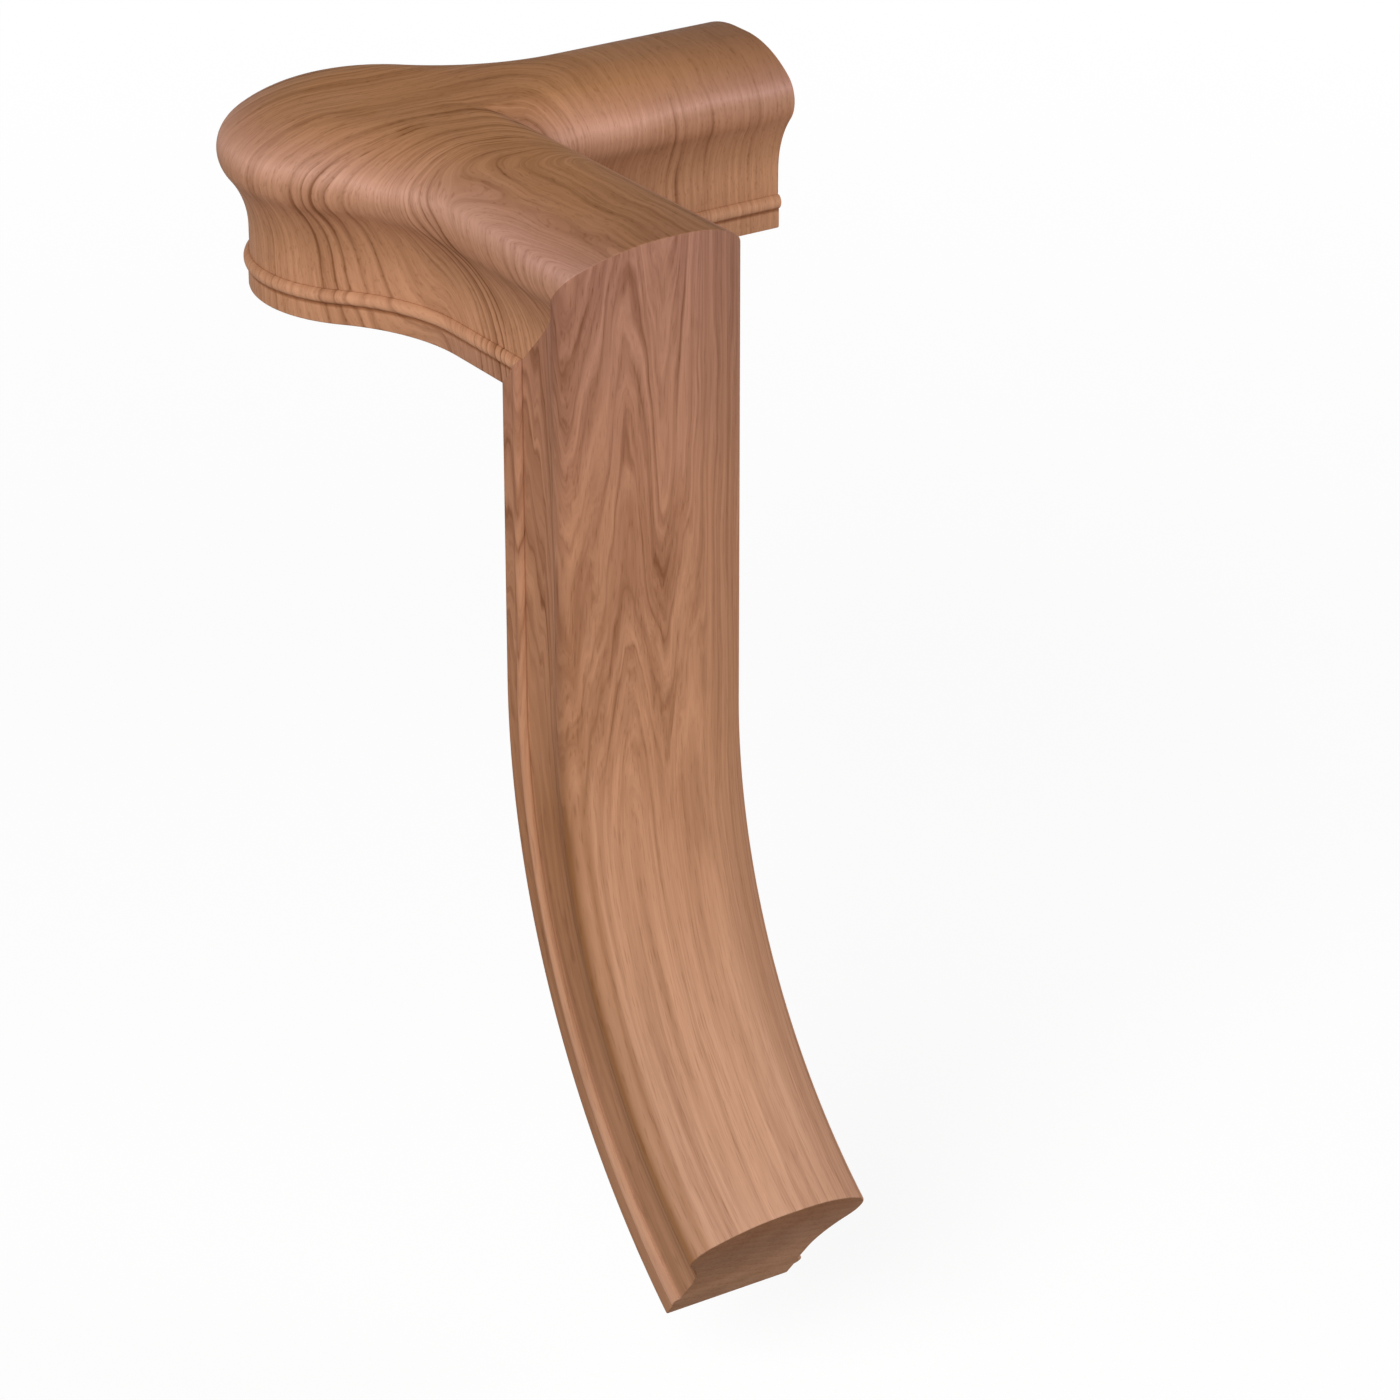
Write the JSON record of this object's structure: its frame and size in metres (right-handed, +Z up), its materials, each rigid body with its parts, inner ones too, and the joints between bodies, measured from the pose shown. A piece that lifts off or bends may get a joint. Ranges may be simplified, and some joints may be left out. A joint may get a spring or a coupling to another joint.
{
  "type": "handrail gooseneck fitting",
  "caption": "Right-hand wooden handrail gooseneck: a level quarter turn with a round newel cap, mitred to a moulded leg that drops plumb and eases into the stair slope.",
  "frame": {"origin": "crossing of the two arms' centre lines on the flat underside, where the cap seats on the newel", "axes": "+X along the level arm to its cut end, -Y along the front arm to the riser, +Z up"},
  "size_m": [0.1661, 0.2511, 0.3131],
  "materials": {
    "cap_blank": "sanded, unfinished oak",
    "leg_blank": "sanded, unfinished oak"
  },
  "bodies": {
    "root": {"quarter_turn_cap": "cap_blank", "drop_leg": "leg_blank"}
  },
  "joints": []
}
